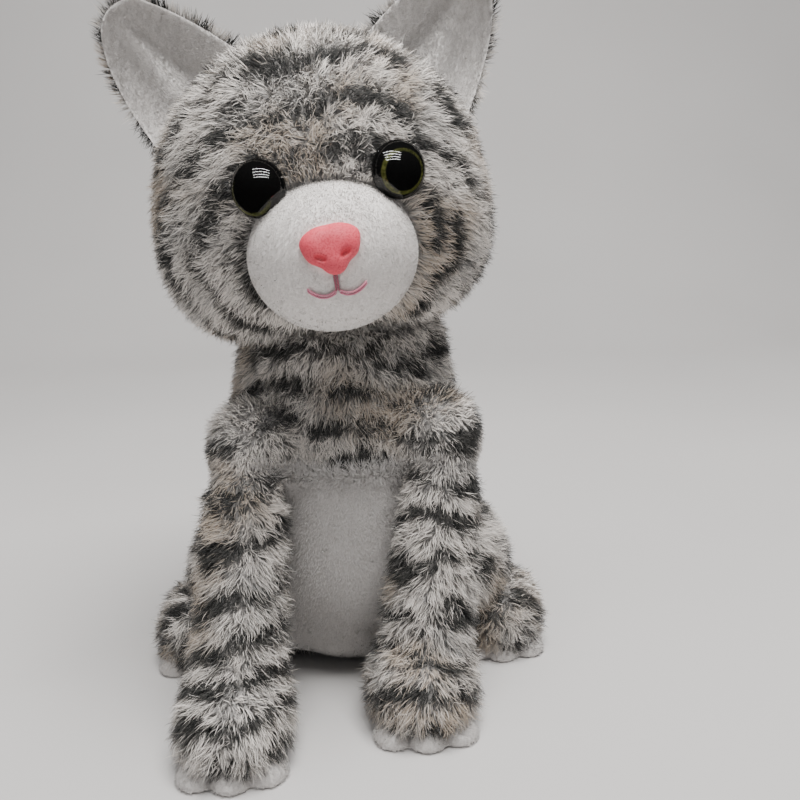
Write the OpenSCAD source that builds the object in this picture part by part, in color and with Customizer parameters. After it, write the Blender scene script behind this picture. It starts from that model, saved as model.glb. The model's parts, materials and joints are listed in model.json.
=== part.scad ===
// Seated plush cat, made of sewn fabric panels over loose fibre stuffing.
// Millimetres, +Z up, the cat faces -Y, the origin is under the middle of its outline on the ground.
// Left and right are the cat's own: its left side is at +X.

/* [Fabric] */
// Thickness of the long-pile fabric with its pile pressed flat
cover_t = 3; // [2:0.5:4]
// Thickness of the short-pile white fabric
sole_t = 3; // [2:0.5:4]
// Gap kept between pieces that move against each other
play = 0.5; // [0.4:0.1:0.8]

/* [Head] */
// Width across the cheeks
head_w = 137; // [130:1:140]
// Depth and height, without the muzzle
head_d = 121; // [118:1:124]
// Height of the middle of the head over the neck's centre
head_rise = 69; // [68:1:71]
// How far the head sits in front of the neck's centre
head_lead = 11; // [8:1:13]
// How far the head sits to the left of the neck's centre
head_side = 2; // [0:0.5:3]
// Lean of the head towards the cat's right shoulder
head_roll = 6.5; // [0:0.5:8]
// Diameter of the eyes
eye_d = 20; // [17:1:22]
// Distance of each eye from the middle of the face
eye_x = 25; // [24:0.5:28]
// How far the pair of eyes sits to the left of the middle of the face
eye_shift = 2.5; // [0:0.5:3]
// Width of the white muzzle
muzzle_w = 61; // [58:1:64]
// Height of the white muzzle
muzzle_h = 54; // [50:1:55]
// Width of the nose
nose_w = 20; // [18:1:22]

/* [Ears] */
// Width of an ear at its base
ear_w = 54; // [50:1:58]
// Height of an ear over the line through the ends of its base
ear_h = 46; // [44:1:50]
// Thickness of the ear's white lining
lining_t = 2.5; // [2:0.5:3]
// Thickness of the ear's long-pile back
ear_back_t = 5; // [4:0.5:6]

/* [Torso] */
// Diameter of the trunk at the belly
belly_d = 108; // [104:1:112]
// Diameter of the neck
neck_d = 86; // [84:1:88]
// Height of the neck's centre over the ground
neck_z = 140; // [137:1:143]
// Radius of each haunch
haunch_r = 38; // [36:1:40]
// Height of the upper edge of the white belly panel
belly_top = 104; // [98:1:108]
// Width of the white belly panel
belly_w = 66; // [58:1:72]

/* [Legs] */
// Diameter of a foreleg
leg_d = 36; // [34:1:38]
// Width of a forepaw
paw_w = 41; // [39:1:43]
// Length of a forepaw
paw_l = 56; // [52:1:58]
// Width of a hind foot
foot_w = 40; // [37:1:42]
// Length of a hind foot
foot_l = 52; // [48:1:56]

/* [Tail] */
// Diameter of the tail
tail_d = 28; // [26:1:29]
// Length of the straight stretch behind the root
tail_run = 25; // [20:1:28]
// Radius of the curl at the tail's end
curl_r = 31; // [28:1:32]
// How far the curl turns
curl_turn = 160; // [120:5:170]

/* [Hidden] */
$fn = 64;

tabby = [0.62, 0.61, 0.60];
white = [0.93, 0.93, 0.92];
fibre = [0.85, 0.85, 0.80];
pink = [0.93, 0.50, 0.53];

// Space between pieces of one body that only lie against each other
skin_gap = 0.1;
far = 400;

// Neck's centre, about which the head turns and nods
neck_y = -4;
neck_r = neck_d / 2;
neck_step = neck_z + 9.5;
dome_r = neck_r - 3.5;

head_rx = head_w / 2;
head_r = head_d / 2;

// Muzzle's centre in the head's frame
muzzle_y = -50;
muzzle_z = -24;
muzzle_r = muzzle_w / 2;

// Eyes in the head's frame
eye_z = 2.6;
eye_yaw = 20;
eye_r = eye_d / 2;
eye_base_t = 2;
dome_h = 6.5;
stem_r = 2.5;
stem_l = 15;
washer_r = 8;
washer_t = 1.2;
washer_back = 5;

// Nose in the head's frame
nose_y = -79.2;
nose_z = -19;
nose_tilt = -4;

// Ears: middle of the base in the head's frame and turn of the base line
ear_x = 45.5;
ear_y = 4;
ear_z = 38.5;
ear_turn = 44;
bowl_r = 64;
ear_clear = 1.8;

// Trunk: height of its widest ring
belly_r = belly_d / 2;
belly_z = 57;

haunch_x = 36;
haunch_y = -2;

// Shoulder and paw centres of each foreleg: the leg's bar runs from one to the other
leg_r = leg_d / 2;
paw_r = paw_w / 2;
left_shoulder = [38.5, -47, 106];
left_paw = [26.5, -70, 12];
right_shoulder = [-40, -47, 104];
right_paw = [-46.5, -87, 12];

foot_x = 67;
foot_y = -9;
foot_z = 14;

tail_r = tail_d / 2;
tail_root = [0, 48, tail_r + 0.4];

// ---- helpers ----

// A round body about Z: r is its radius across, h its half height
module spheroid(r, h) {
    rotate_extrude()
        polygon([for (a = [-90:5:90]) [r * cos(a), h * sin(a)]]);
}

// A round bar from a to b with round ends
module limb(a, b, r) {
    d = b - a;
    translate(a)
        rotate([0, acos(d.z / norm(d)), atan2(d.y, d.x)])
            rotate_extrude()
                intersection() {
                    union() {
                        circle(r);
                        translate([0, norm(d)])
                            circle(r);
                        square([r, norm(d)]);
                    }
                    translate([0, -r - 1])
                        square([r + 1, norm(d) + 2 * r + 2]);
                }
}

// A paw: a level round bar along Y with round ends, g larger all round
module paw_form(place, r, l, g) {
    reach = [0, l / 2 - r, 0];
    limb(place - reach, place + reach, r + g);
}

// Everything at or above height z
module above(z) {
    translate([-far / 2, -far / 2, z])
        cube(far);
}

// Everything on one side of the plane x: side is 1 or -1
module beside(x, side) {
    translate([side > 0 ? x : x - far, -far / 2, -far / 2])
        cube(far);
}

module in_head() {
    translate([0, neck_y, neck_z])
        rotate([0, -head_roll, 0])
            translate([head_side, -head_lead, head_rise])
                children();
}

module neck_ball(r) {
    translate([0, neck_y, neck_z])
        sphere(r);
}

// ---- head ----

// Head's outline without muzzle, g larger all round
module skull(g) {
    rotate([0, 90, 0])
        spheroid(head_r + g, head_rx + g);
}

module muzzle_form(g) {
    translate([0, muzzle_y, muzzle_z])
        spheroid(muzzle_r + g, muzzle_h / 2 + g);
}

// Depth of the face at distance x from its middle
function face_y(x) = -head_r * sqrt(1 - pow(x / head_rx, 2)) - 0.2;

// Places a child on the head where an eye sits, with +Z pointing out of the face
module at_eye(side) {
    x = side * eye_x + eye_shift;
    in_head()
        translate([x, face_y(x), eye_z])
            rotate([90, 0, side * eye_yaw])
                children();
}

module at_nose() {
    in_head()
        translate([0, nose_y, nose_z])
            rotate([90 + nose_tilt, 0, 0])
                children();
}

// Room for an eye's back, stem and washer
module eye_room(side) {
    at_eye(side) {
        translate([0, 0, -stem_l - skin_gap])
            cylinder(h = stem_l, r = stem_r + 0.6);
        translate([0, 0, -eye_base_t - skin_gap])
            cylinder(h = 20, r = eye_r + skin_gap);
        translate([0, 0, -washer_back - washer_t - skin_gap])
            cylinder(h = washer_t + 2 * skin_gap, r = washer_r + skin_gap);
    }
}

module nose_room() {
    at_nose() {
        translate([0, 0, -stem_l - skin_gap])
            cylinder(h = stem_l + 3, r = stem_r + 0.3);
        translate([0, 0, -washer_back - washer_t - skin_gap])
            cylinder(h = washer_t + 2 * skin_gap, r = washer_r + skin_gap);
    }
}

// Both halves of the head's long-pile cover
module head_cover() {
    difference() {
        in_head()
            difference() {
                skull(0);
                skull(-cover_t);
                muzzle_form(skin_gap);
            }
        neck_ball(neck_r + play);
        eye_room(1);
        eye_room(-1);
    }
}

module head_half(side) {
    color(tabby)
        intersection() {
            head_cover();
            in_head()
                beside(side * skin_gap / 2, side);
        }
}

module muzzle_cover() {
    color(white)
        difference() {
            in_head()
                difference() {
                    muzzle_form(0);
                    muzzle_form(-sole_t);
                    skull(-cover_t);
                }
            nose_room();
            eye_room(1);
            eye_room(-1);
        }
}

module head_stuffing() {
    color(fibre)
        difference() {
            in_head() {
                skull(-cover_t - skin_gap);
                muzzle_form(-sole_t - skin_gap);
            }
            neck_ball(neck_r + play);
            eye_room(1);
            eye_room(-1);
            nose_room();
        }
}

// Safety eye: domed front, black base and a stem with a ribbed end
module eye(side) {
    color("black")
        at_eye(side) {
            intersection() {
                translate([0, 0, -eye_base_t])
                    cylinder(h = 20, r = eye_r);
                translate([0, 0, dome_h - eye_r - 1.5])
                    sphere(eye_r + 1.5);
            }
            translate([0, 0, -stem_l])
                cylinder(h = stem_l - 1, r = stem_r);
            for (k = [0:3])
                translate([0, 0, 1 - stem_l + k * 2])
                    cylinder(h = 1, r1 = stem_r, r2 = stem_r + 0.35);
        }
}

module washer() {
    difference() {
        cylinder(h = washer_t, r = washer_r);
        translate([0, 0, -1])
            cylinder(h = washer_t + 2, r = stem_r + 0.1);
    }
}

module eye_washer(side) {
    color("ivory")
        at_eye(side)
            translate([0, 0, -washer_back - washer_t])
                washer();
}

// Rounded nose: two upper lobes, a lower point, and a stem behind
module nose() {
    lobe = nose_w * 0.23;
    color(pink)
        difference() {
            at_nose() {
                hull() {
                    for (side = [-1, 1])
                        translate([side * (nose_w / 2 - lobe), 3.2, 1])
                            sphere(lobe, $fn = 28);
                    translate([0, -4.2, 0.4])
                        sphere(lobe * 0.75, $fn = 28);
                }
                translate([0, 0, -stem_l])
                    cylinder(h = stem_l, r = stem_r);
            }
            difference() {
                in_head()
                    muzzle_form(skin_gap);
                nose_room();
            }
        }
}

module nose_washer() {
    color("ivory")
        at_nose()
            translate([0, 0, -washer_back - washer_t])
                washer();
}

// Mouth's outline seen from the front: a stem and two upward arcs
module mouth_outline(thread) {
    smile_r = 6;
    stem_top = -27;
    arc_z = -33;
    translate([-thread / 2, arc_z - 2])
        square([thread, stem_top - arc_z + 2]);
    for (side = [-1, 1])
        translate([side * (smile_r - 0.3), arc_z])
            intersection() {
                difference() {
                    circle(smile_r + thread / 2);
                    circle(smile_r - thread / 2);
                }
                translate([-smile_r - thread, -smile_r - thread])
                    square([2 * (smile_r + thread), smile_r + thread]);
            }
}

module mouth_stitching() {
    color(pink)
        in_head()
            intersection() {
                difference() {
                    muzzle_form(0.8);
                    muzzle_form(skin_gap);
                }
                translate([0, -60, 0])
                    rotate([90, 0, 0])
                        linear_extrude(height = 40)
                            mouth_outline(1.6);
            }
}

// ---- ears ----

function bezier(a, b, c, t) = (1 - t) * (1 - t) * a + 2 * t * (1 - t) * b + t * t * c;

// Ear's outline: u runs out along the base, v away from the head
module ear_outline() {
    base = ear_w / 2;
    tip_in = [-0.32 * ear_w, 0.9 * ear_h];
    tip = [-0.18 * ear_w, 1.06 * ear_h];
    tip_out = [0.03 * ear_w, 0.95 * ear_h];
    polygon(concat(
        [for (t = [0:0.125:1]) bezier([-base, -16], [-base, 0.45 * ear_h], tip_in, t)],
        [for (t = [0.25:0.25:1]) bezier(tip_in, tip, tip_out, t)],
        [for (t = [0.125:0.125:1]) bezier(tip_out, [0.36 * ear_w, 0.66 * ear_h], [base, -16], t)]
    ));
}

module in_ear(side) {
    in_head()
        mirror([side < 0 ? 1 : 0, 0, 0])
            translate([ear_x, ear_y, ear_z])
                rotate([0, ear_turn, 0])
                    children();
}

// One layer of an ear's bowl, between two balls about a centre in front of it
module ear_layer(side, inner, outer) {
    difference() {
        in_ear(side)
            intersection() {
                rotate([90, 0, 0])
                    linear_extrude(height = 60, center = true)
                        ear_outline();
                translate([0, 2 - bowl_r, 18])
                    difference() {
                        sphere(outer);
                        sphere(inner);
                    }
            }
        in_head()
            skull(ear_clear);
    }
}

module ear_lining(side) {
    color(white)
        ear_layer(side, bowl_r, bowl_r + lining_t);
}

module ear_back(side) {
    color(tabby)
        ear_layer(side, bowl_r + lining_t + skin_gap, bowl_r + lining_t + ear_back_t);
}

// ---- neck ----

// Fabric collar between head and trunk, part of a ball so that the head can turn and nod
module neck_cover() {
    color(tabby)
        intersection() {
            difference() {
                neck_ball(neck_r);
                neck_ball(dome_r + play);
            }
            above(neck_step + play);
        }
}

// ---- torso ----

// Trunk's radius at height z
function trunk_r(z) =
    z < belly_z
        ? belly_r * sqrt(1 - pow((belly_z - z) / (belly_z + 4), 2))
        : neck_r + (belly_r - neck_r) * cos(90 * (z - belly_z) / (neck_step - belly_z));

module trunk(g) {
    translate([0, neck_y, 0])
        rotate_extrude()
            polygon(concat(
                [[0, -g], [trunk_r(0) + g, -g]],
                [for (z = [4:5:neck_step - 5]) [trunk_r(z) + g, z]],
                [[neck_r + g, neck_step + min(g, 0)], [0, neck_step + min(g, 0)]]
            ));
}

module haunches(g) {
    for (side = [-1, 1])
        translate([side * haunch_x, haunch_y, haunch_r - 2])
            sphere(haunch_r + g);
}

// Everything that moves against the trunk, g larger all round
module moving_room(g) {
    limb(left_shoulder, left_paw, leg_r + g);
    limb(right_shoulder, right_paw, leg_r + g);
    translate(tail_root)
        sphere(tail_r + g);
}

// Trunk with haunches, flat underneath, hollowed where legs and tail lie against it
module torso_form(g) {
    difference() {
        union() {
            trunk(g);
            haunches(g);
        }
        translate([-far / 2, -far / 2, -g - far])
            cube(far);
        moving_room(play - g);
    }
}

// Sewn fabric of the trunk, open at the top where the stuffing rises into the neck
module torso_shell() {
    difference() {
        torso_form(0);
        torso_form(-cover_t);
        neck_ball(dome_r + skin_gap);
    }
}

// Front stretch of the trunk between the legs, from height low to high
module front_strip(low, high, w) {
    translate([-w / 2, -far / 2, low])
        cube([w, far / 2 - 25, high - low]);
}

module belly_panel() {
    color(white)
        intersection() {
            torso_shell();
            front_strip(5, belly_top, belly_w);
        }
}

module chest_panel() {
    color(tabby)
        intersection() {
            torso_shell();
            front_strip(belly_top + skin_gap, neck_step + 1, belly_w);
        }
}

module side_cover(side) {
    color(tabby)
        difference() {
            intersection() {
                torso_shell();
                beside(side * skin_gap / 2, side);
            }
            front_strip(5 - skin_gap, neck_step + 2, belly_w + 2 * skin_gap);
        }
}

module bag_form(g) {
    translate([0, neck_y, 10 - g])
        cylinder(h = 22 + 2 * g, r = 27 + g);
}

module torso_stuffing() {
    color(fibre)
        difference() {
            union() {
                torso_form(-cover_t - skin_gap);
                intersection() {
                    neck_ball(dome_r);
                    above(neck_step - cover_t - 1);
                }
            }
            bag_form(skin_gap);
        }
}

// Small fabric bag of plastic pellets that weighs the seat down
module pellet_bag() {
    color("beige")
        bag_form(0);
}

// Ladder stitches that close the back seam
module closing_stitches() {
    stitches = 12;
    pitch = 5;
    color("gray")
        intersection() {
            difference() {
                trunk(0.8);
                trunk(skin_gap);
            }
            union()
                for (k = [0:stitches - 1])
                    translate([-3, 20, 62 + k * pitch])
                        cube([6, far / 4, 1.2]);
        }
}

// ---- forelegs ----

// Foreleg with its paw, g larger all round but for the sole
module foreleg_form(shoulder, paw, g) {
    intersection() {
        union() {
            limb(shoulder, paw, leg_r + g);
            paw_form(paw, paw_r, paw_l, g);
        }
        above(0);
    }
}

module foreleg_half(shoulder, paw, side) {
    color(tabby)
        intersection() {
            difference() {
                foreleg_form(shoulder, paw, 0);
                foreleg_form(shoulder, paw, -cover_t);
            }
            above(sole_t + skin_gap);
            beside_limb(shoulder, paw, side);
        }
}

// Space on one side of the plane that holds a limb's axis and Y
module beside_limb(a, b, side) {
    lean = atan2(a.x - b.x, a.z - b.z);
    translate([b.x, 0, b.z])
        rotate([0, lean, 0])
            beside(side * skin_gap / 2, side);
}

module foreleg_stuffing(shoulder, paw) {
    color(fibre)
        intersection() {
            foreleg_form(shoulder, paw, -cover_t - skin_gap);
            above(sole_t + skin_gap);
        }
}

module sole(paw, r, l) {
    color(white)
        intersection() {
            paw_form(paw, r, l, 0);
            translate([-far / 2, -far / 2, 0])
                cube([far, far, sole_t]);
        }
}

// Two rows of thread that pull the front of a paw into three toes
module toe_stitches(paw, r, l) {
    toe = 0.55 * r;
    color("gray")
        intersection() {
            difference() {
                paw_form(paw, r, l, 0.7);
                paw_form(paw, r, l, skin_gap);
            }
            union()
                for (side = [-1, 1])
                    translate([paw.x + side * toe / 2 - 0.5, paw.y - l, sole_t + skin_gap])
                        cube([1, l * 0.8, paw.z * 0.75]);
        }
}

// ---- hind feet ----

function foot_place(side) = [side * foot_x, foot_y, foot_z];

module foot_form(side, g) {
    intersection() {
        paw_form(foot_place(side), foot_w / 2, foot_l, g);
        above(0);
    }
}

module foot_cover(side) {
    color(tabby)
        intersection() {
            difference() {
                foot_form(side, 0);
                foot_form(side, -cover_t);
                haunches(skin_gap);
                trunk(skin_gap);
            }
            above(sole_t + skin_gap);
        }
}

module foot_stuffing(side) {
    color(fibre)
        intersection() {
            difference() {
                foot_form(side, -cover_t - skin_gap);
                haunches(skin_gap);
                trunk(skin_gap);
            }
            above(sole_t + skin_gap);
        }
}

module foot_sole(side) {
    difference() {
        sole(foot_place(side), foot_w / 2, foot_l);
        haunches(skin_gap);
        trunk(skin_gap);
    }
}

// ---- tail ----

// Straight stretch behind the root, then a level curl with a round end
module tail_form(g) {
    girth = tail_r + g;
    translate(tail_root) {
        sphere(girth);
        rotate([-90, 0, 0])
            cylinder(h = tail_run, r = girth);
        translate([-curl_r, tail_run, 0]) {
            rotate_extrude(angle = curl_turn)
                translate([curl_r, 0])
                    circle(girth);
            rotate([0, 0, curl_turn])
                translate([curl_r, 0, 0])
                    intersection() {
                        sphere(girth);
                        translate([-far / 2, 0, -far / 2])
                            cube(far);
                    }
        }
    }
}

module tail_cover() {
    color(tabby)
        difference() {
            tail_form(0);
            tail_form(-cover_t);
        }
}

module tail_stuffing() {
    color(fibre)
        tail_form(-cover_t - skin_gap);
}

head_half(1);  // head_left_cover
head_half(-1);  // head_right_cover
muzzle_cover();
head_stuffing();
eye(1);  // left_eye
eye(-1);  // right_eye
eye_washer(1);  // left_eye_washer
eye_washer(-1);  // right_eye_washer
nose();
nose_washer();
mouth_stitching();
ear_back(1);  // left_ear_back
ear_lining(1);  // left_ear_lining
ear_back(-1);  // right_ear_back
ear_lining(-1);  // right_ear_lining
neck_cover();
chest_panel();
belly_panel();
side_cover(1);  // left_side_cover
side_cover(-1);  // right_side_cover
torso_stuffing();
pellet_bag();
closing_stitches();
foreleg_half(left_shoulder, left_paw, 1);  // left_foreleg_outer_cover
foreleg_half(left_shoulder, left_paw, -1);  // left_foreleg_inner_cover
foreleg_stuffing(left_shoulder, left_paw);  // left_foreleg_stuffing
sole(left_paw, paw_r, paw_l);  // left_forepaw_sole
toe_stitches(left_paw, paw_r, paw_l);  // left_forepaw_toe_stitches
foreleg_half(right_shoulder, right_paw, -1);  // right_foreleg_outer_cover
foreleg_half(right_shoulder, right_paw, 1);  // right_foreleg_inner_cover
foreleg_stuffing(right_shoulder, right_paw);  // right_foreleg_stuffing
sole(right_paw, paw_r, paw_l);  // right_forepaw_sole
toe_stitches(right_paw, paw_r, paw_l);  // right_forepaw_toe_stitches
foot_cover(1);  // left_hind_foot_cover
foot_stuffing(1);  // left_hind_foot_stuffing
foot_sole(1);  // left_hind_foot_sole
toe_stitches(foot_place(1), foot_w / 2, foot_l);  // left_hind_toe_stitches
foot_cover(-1);  // right_hind_foot_cover
foot_stuffing(-1);  // right_hind_foot_stuffing
foot_sole(-1);  // right_hind_foot_sole
toe_stitches(foot_place(-1), foot_w / 2, foot_l);  // right_hind_toe_stitches
tail_cover();
tail_stuffing();
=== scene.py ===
"""The looks of a seated plush cat: sewn fabric, long pile, eyes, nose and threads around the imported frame.

Metres and +Z up. The cat faces -Y, and its left side is at +X.
"""
import json
import math

import bpy
import numpy as np
from mathutils import Matrix, Vector


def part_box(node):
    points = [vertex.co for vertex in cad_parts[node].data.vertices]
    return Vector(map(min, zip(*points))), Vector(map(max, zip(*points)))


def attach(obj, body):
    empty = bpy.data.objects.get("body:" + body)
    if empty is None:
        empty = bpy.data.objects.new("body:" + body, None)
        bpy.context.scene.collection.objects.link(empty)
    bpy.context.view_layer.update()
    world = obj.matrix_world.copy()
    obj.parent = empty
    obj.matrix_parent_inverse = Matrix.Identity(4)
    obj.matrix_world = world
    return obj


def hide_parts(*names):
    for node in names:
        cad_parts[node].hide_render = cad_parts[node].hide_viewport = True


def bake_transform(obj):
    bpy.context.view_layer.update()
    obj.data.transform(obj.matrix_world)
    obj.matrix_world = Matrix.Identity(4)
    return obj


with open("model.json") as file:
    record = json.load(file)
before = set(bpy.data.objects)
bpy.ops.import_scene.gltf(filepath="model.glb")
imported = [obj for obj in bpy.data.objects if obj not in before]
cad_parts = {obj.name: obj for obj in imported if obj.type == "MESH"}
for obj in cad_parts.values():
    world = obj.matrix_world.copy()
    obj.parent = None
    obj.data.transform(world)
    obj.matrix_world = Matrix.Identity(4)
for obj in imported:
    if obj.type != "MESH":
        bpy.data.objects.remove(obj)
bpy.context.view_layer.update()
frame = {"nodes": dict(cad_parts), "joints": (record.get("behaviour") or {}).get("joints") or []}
MM = 0.001


def mm(*values):
    """A point, a step or radii given in millimetres."""
    return np.array(values) * MM


# ---- sizes and places, from the frame ----

JOINT = {j["name"]: np.array(j["pos_m"]) for j in frame["joints"]}
NECK = JOINT["head_turn"]
TAIL_ROOT = JOINT["tail_swing"]
SHOULDER = {"left": JOINT["left_foreleg_swing"], "right": JOINT["right_foreleg_swing"]}
SIDES = {"left": 1, "right": -1}

CLOTH = 3 * MM  # how far the woven fabric lies below the pressed pile of the frame's covers
FABRIC = 1.2 * MM  # thickness of the woven fabric itself
NECK_R = 43 * MM
NECK_STEP = NECK[2] + 9.5 * MM
SKULL = mm(68.5, 60.5, 60.5)
MUZZLE_AT = mm(0, -50, -24)
MUZZLE = mm(30.5, 30.5, 27)
EYE_R = 10 * MM
LEG_R = 18 * MM
PAW_R = 20.5 * MM
PAW_L = 56 * MM
PAW_Z = 12 * MM
FOOT_R = 20 * MM
FOOT_L = 52 * MM
FOOT_Z = 14 * MM
HAUNCH_R = 38 * MM
BELLY_TOP = 104 * MM
BELLY_HALF = 33 * MM


def turn(axis, degrees):
    return np.array(Matrix.Rotation(math.radians(degrees), 3, axis))


def to_local(place, p):
    return (p - place[0]) @ place[1]


def to_world(place, q):
    return q @ place[1].T + place[0]


HEAD_LEAN = turn("Y", -6.5)
HEAD = (NECK + HEAD_LEAN @ mm(2, -11, 69), HEAD_LEAN)


def eye_place(side):
    x = (25 * side + 2.5) * MM
    y = -SKULL[1] * math.sqrt(1 - (x / SKULL[0]) ** 2) - 0.2 * MM
    rotation = HEAD[1] @ turn("Z", side * 20) @ turn("X", 90)
    return to_world(HEAD, np.array([x, y, 2.6 * MM])), rotation


EYE = {name: eye_place(side) for name, side in SIDES.items()}
NOSE = (to_world(HEAD, mm(0, -79.2, -19.3)), HEAD[1] @ turn("X", 86) @ turn("Z", 5))


def on_floor(node, height):
    """The point at this height in line with a node's middle."""
    low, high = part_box(node)
    at = (np.array(low) + np.array(high)) / 2
    return np.array([at[0], at[1], height])


PAW = {name: on_floor(name + "_forepaw_sole", PAW_Z) for name in SIDES}
FOOT = {name: np.array([side * 67 * MM, -9 * MM, FOOT_Z]) for name, side in SIDES.items()}

# ---- distance fields: negative inside, for arrays of points ----


def size_of(v):
    return np.sqrt((v * v).sum(-1))


def ball(p, centre, r):
    return size_of(p - centre) - r


def egg(q, radii):
    near = size_of(q / radii)
    return near * (near - 1) / np.maximum(size_of(q / radii ** 2), 1e-9)


def bar(p, a, b, ra, rb=None):
    rb = ra if rb is None else rb
    t = np.clip((p - a) @ (b - a) / ((b - a) @ (b - a)), 0, 1)
    return size_of(p - a - t[:, None] * (b - a)) - (ra + t * (rb - ra))


def join(a, b, k):
    """Both forms together, with a fillet of about k."""
    h = np.clip(0.5 + 0.5 * (b - a) / k, 0, 1)
    return b + (a - b) * h - k * h * (1 - h)


def cut(a, b, k):
    """Form a without form b."""
    return -join(-a, b, k)


def smooth(x, low, high):
    t = np.clip((x - low) / (high - low), 0, 1)
    return t * t * (3 - 2 * t)


def muzzle_field(p):
    q = to_local(HEAD, p)
    whole = egg(q - MUZZLE_AT, MUZZLE)
    # pulled in along the mouth's stitches
    fold = np.exp(-(q[:, 0] / (2.2 * MM)) ** 2) * smooth(q[:, 2], -40 * MM, -30 * MM)
    fold = fold * (1 - smooth(q[:, 2], -27 * MM, -23 * MM)) * (q[:, 1] < -60 * MM)
    return whole + 1.3 * MM * fold


def skull_field(p):
    q = to_local(HEAD, p)
    whole = np.where(q[:, 0] > 0, egg(q, SKULL - mm(7, 3, 3)), egg(q, SKULL - mm(4, 3, 3)))
    for x in (29, -33):
        whole = join(whole, ball(q, mm(x, -8, -22), 32 * MM), 14 * MM)
    return whole


def head_field(p):
    whole = skull_field(p)
    for at, rotation in EYE.values():
        whole = cut(whole, ball(p, at + rotation[:, 2] * 9 * MM, 12.5 * MM), 5 * MM)
    return cut(whole, ball(p, NECK, NECK_R + 0.8 * MM), 2 * MM)


def with_toes(whole, p, at, apart, long, rise):
    """Two grooves between the toes, and a flat underside."""
    for side in (1, -1):
        groove = at + np.array([side * apart, -long / 2 - 1 * MM, rise])
        whole = cut(whole, bar(p, groove, groove + mm(0, 8, 16), 1.5 * MM), 5 * MM)
    return np.maximum(whole, 2.5 * MM - p[:, 2])


def leg_field(name, p):
    shoulder, paw = SHOULDER[name], PAW[name]
    reach = np.array([0, PAW_L / 2 - PAW_R, 0])
    leg = bar(p, shoulder, paw, LEG_R - CLOTH - 3 * MM, LEG_R - CLOTH + 0.5 * MM)
    whole = join(leg, bar(p, paw - reach, paw + reach, PAW_R - CLOTH), 9 * MM)
    return with_toes(whole, p, paw, 6.5 * MM, PAW_L, 4 * MM)


def foot_field(name, p):
    foot = FOOT[name]
    reach = np.array([0, FOOT_L / 2 - FOOT_R, 0])
    whole = bar(p, foot - reach, foot + reach, FOOT_R - CLOTH)
    return with_toes(whole, p, foot, 6 * MM, FOOT_L, 0)


def trunk_radius(z):
    low = 54 * MM * np.sqrt(np.clip(1 - ((57 * MM - z) / (61 * MM)) ** 2, 1e-4, 1))
    rise = np.clip((z - 57 * MM) / (NECK_STEP - 57 * MM), 0, 1)
    return np.where(z < 57 * MM, low, NECK_R + 11 * MM * np.cos(rise * math.pi / 2))


def shoulder_bulge(name):
    return SHOULDER[name] + np.array([-SIDES[name] * 2, 4, 3]) * MM


def trunk_field(p):
    from_axis = size_of(p[:, :2] - NECK[:2])
    z = np.clip(p[:, 2], 0, NECK_STEP)
    slope = (trunk_radius(z + MM) - trunk_radius(z - MM)) / (2 * MM)
    whole = (from_axis - trunk_radius(z) + CLOTH) / np.sqrt(1 + slope ** 2)
    for side in (1, -1):
        haunch = mm(side * 36, -2, 36)
        whole = join(whole, ball(p, haunch, HAUNCH_R - CLOTH), 10 * MM)
    for name in SIDES:
        leg = bar(p, SHOULDER[name], PAW[name], LEG_R - 4.5 * MM, LEG_R - 1.5 * MM)
        whole = cut(whole, leg, 3 * MM)
    for name in SIDES:
        whole = join(whole, ball(p, shoulder_bulge(name), LEG_R - 1.5 * MM), 12 * MM)
    whole = cut(whole, ball(p, TAIL_ROOT, 13 * MM), 3 * MM)
    return np.maximum(whole, 1.5 * MM - p[:, 2])


def tail_spine():
    run, curl = 25 * MM, 31 * MM
    centre = TAIL_ROOT + np.array([-curl, run, 0])
    angles = np.radians(np.arange(0, 161, 8))
    arc = [centre + curl * np.array([math.cos(a), math.sin(a), 0]) for a in angles]
    return np.array([TAIL_ROOT, TAIL_ROOT + np.array([0, run / 2, 0])] + arc)


TAIL_SPINE = tail_spine()
TAIL_STEPS = np.concatenate([[0], np.cumsum(size_of(np.diff(TAIL_SPINE, axis=0)))])
TAIL_R = [11.2 * MM, 9.6 * MM]


def tail_field(p):
    whole = np.full(len(p), 1.0)
    share = TAIL_STEPS / TAIL_STEPS[-1]
    for k in range(len(TAIL_SPINE) - 1):
        ra, rb = (TAIL_R[0] + s * (TAIL_R[1] - TAIL_R[0]) for s in share[k:k + 2])
        whole = np.minimum(whole, bar(p, TAIL_SPINE[k], TAIL_SPINE[k + 1], ra, rb))
    return whole


# ---- meshes from fields ----


def gradient(field, p):
    h = 0.1 * MM
    steps = np.eye(3) * h
    return np.stack([field(p + s) - field(p - s) for s in steps], -1) / (2 * h)


def unit(v):
    return v / np.maximum(size_of(v), 1e-9)[..., None]


def within(v, normal):
    """The part of each vector that lies in the surface."""
    return v - (v * normal).sum(-1)[:, None] * normal


def settle(field, p, rounds):
    for _ in range(rounds):
        g = gradient(field, p)
        p = p - (field(p) / np.maximum((g * g).sum(-1), 0.2))[:, None] * g
    return p


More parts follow.
